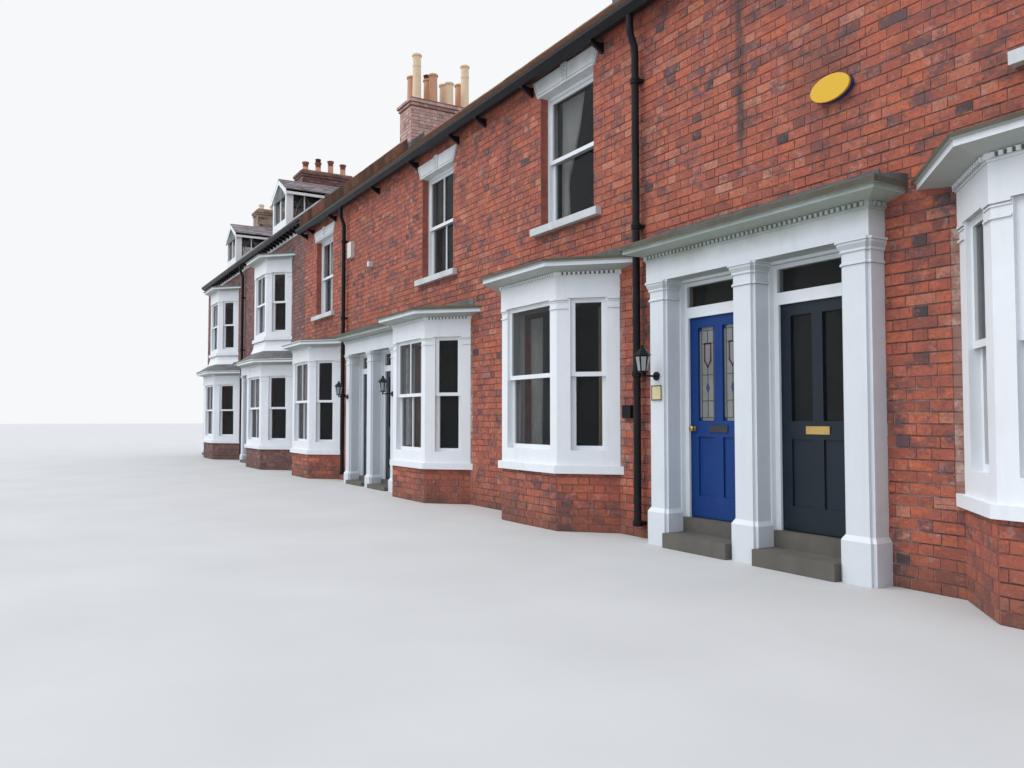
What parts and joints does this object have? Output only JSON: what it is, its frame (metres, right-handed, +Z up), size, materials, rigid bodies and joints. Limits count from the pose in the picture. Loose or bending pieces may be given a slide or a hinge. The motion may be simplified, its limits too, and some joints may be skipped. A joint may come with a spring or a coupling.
{
  "type": "terraced house row",
  "caption": "Row of terraced brick houses with canted bay windows, paired pilastered porches, sash windows, dormers, tiled roofs and chimney stacks.",
  "frame": {"origin": "on the ground, under the middle of the row's overall box", "axes": "+X along the row towards house A, the front faces -Y, +Z up"},
  "size_m": [29.63, 6.695, 10.07],
  "materials": {
    "red_brick": "hand-made facing brick with lime pointing",
    "floor_boards": "sanded boards",
    "clay_tile": "plain clay tiles with moss",
    "chimney_clay": "fired clay",
    "black_iron": "black painted iron",
    "white_paint": "gloss white paint on timber",
    "white_stone": "white painted stone",
    "window_glass": "clear",
    "lead": "weathered lead",
    "blue_paint": "gloss blue paint on timber",
    "slate_blue_paint": "gloss dark blue-grey paint on timber",
    "dark_paint": "dark paint on timber",
    "brass": "polished",
    "black_fittings": "black iron",
    "stone_step": "worn sandstone",
    "yellow_cover": "gloss",
    "white_cover": "satin",
    "cream_plate": "enamelled",
    "slate": "grey slate"
  },
  "bodies": {
    "houses": {"front_wall_ground": "red_brick", "front_wall_upper_a_d": "red_brick", "front_wall_upper_e_f": "red_brick", "rear_wall_a_b": "red_brick", "rear_wall_c_d": "red_brick", "rear_wall_e_f": "red_brick", "party_walls": "red_brick", "end_walls": "red_brick", "chimney_stacks": "red_brick", "bay_plinths": "red_brick", "ground_floor": "floor_boards", "first_floor": "floor_boards", "attic_floor": "floor_boards", "roof_front_a_d": "clay_tile", "roof_rear_a_d": "clay_tile", "roof_front_e_f": "clay_tile", "roof_rear_e_f": "clay_tile", "ridge_tiles": "clay_tile", "chimney_pots": "chimney_clay", "gutters": "black_iron", "gutter_brackets": "black_iron", "downpipes": "black_iron", "bay_frames_a_d": "white_paint", "bay_frames_e_f": "white_paint", "upper_bay_frames": "white_paint", "bay_sashes": "white_paint", "bay_glass": "window_glass", "bay_cornices": "white_paint", "bay_roofs": "lead", "bay_skirts": "lead", "window_frames": "white_paint", "window_sashes": "white_paint", "window_glass": "window_glass", "rear_window_frames": "white_paint", "window_sills": "white_stone", "window_lintels": "white_stone", "rear_doors": "dark_paint", "porch_a_b": "white_paint", "porch_c_d": "white_paint", "porches_e_f": "white_paint", "porch_roofs": "lead", "door_frames": "white_paint", "fanlights": "window_glass", "door_steps": "stone_step", "doors_c_f": "dark_paint", "door_hinges": "brass", "dormer_walls": "white_paint", "dormer_roofs": "slate", "dormer_glass": "window_glass", "lanterns": "black_iron", "alarm_disc": "yellow_cover", "wall_boxes": "white_cover", "number_plate": "cream_plate"},
    "door_a": {"door_a": "slate_blue_paint", "door_a_glass": "window_glass", "door_a_fittings": "brass"},
    "door_b": {"door_b": "blue_paint", "door_b_glass": "window_glass", "door_b_fittings": "black_fittings"}
  },
  "joints": [
    {"name": "door_a_hinge", "type": "hinge", "parent": "houses", "child": "door_a", "pos_m": [10.118, -2.3655, 1.2], "axis": [0, 0, 1], "range_deg": [0, 90]},
    {"name": "door_b_hinge", "type": "hinge", "parent": "houses", "child": "door_b", "pos_m": [9.762, -2.3655, 1.2], "axis": [0, 0, -1], "range_deg": [0, 90]}
  ]
}
